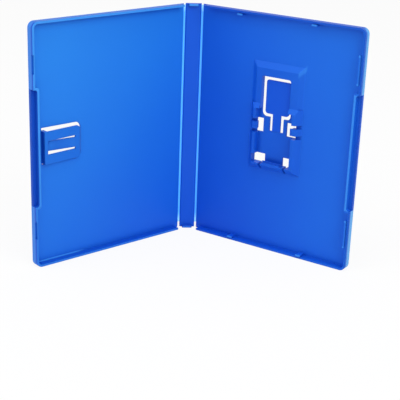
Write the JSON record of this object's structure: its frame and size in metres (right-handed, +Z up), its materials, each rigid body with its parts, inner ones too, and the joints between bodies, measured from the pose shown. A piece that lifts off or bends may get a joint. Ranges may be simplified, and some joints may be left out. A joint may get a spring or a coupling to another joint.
{
  "type": "game card case",
  "caption": "Hinged moulded case for a small game card, standing open: card holder with press tab in the back cover, booklet clip in the front cover, clear film sleeve outside.",
  "frame": {"origin": "on the standing plane, midway along the foot of the back cover's bottom wall and midway through its thickness", "axes": "+Z up along the spine, +X along the back cover from its hinge to its opening edge, -Y the way the back cover's inside faces"},
  "size_m": [0.1412, 0.1095, 0.136],
  "materials": {
    "blue_plastic": "satin moulded polypropylene",
    "hinge_plastic": "thin moulded web, lighter because light passes through it",
    "clear_film": "clear glossy film"
  },
  "bodies": {
    "back_cover": {"back_cover": "blue_plastic"},
    "spine": {"spine": "blue_plastic", "back_hinge_web": "hinge_plastic", "front_hinge_web": "hinge_plastic", "clear_sleeve": "clear_film"},
    "front_cover": {"front_cover": "blue_plastic"},
    "release_tab": {"release_tab": "blue_plastic"}
  },
  "joints": [
    {"name": "back_hinge", "type": "hinge", "parent": "back_cover", "child": "spine", "pos_m": [-0.0524, 0.00248, 0], "axis": [0, 0, 1], "range_deg": [-37.3, 52.7], "deforming": ["back_hinge_web", "clear_sleeve"]},
    {"name": "front_hinge", "type": "hinge", "parent": "spine", "child": "front_cover", "pos_m": [-0.06083, -0.00395, 0], "axis": [0, 0, 1], "range_deg": [-37.3, 52.7], "deforming": ["front_hinge_web", "clear_sleeve"]},
    {"name": "release_tab_press", "type": "hinge", "parent": "back_cover", "child": "release_tab", "pos_m": [0.0007, 0.00187, 0.0702], "axis": [-1, 0, 0], "range_deg": [0, 1.3], "stiffness_Nm_per_rad": 0.5}
  ]
}
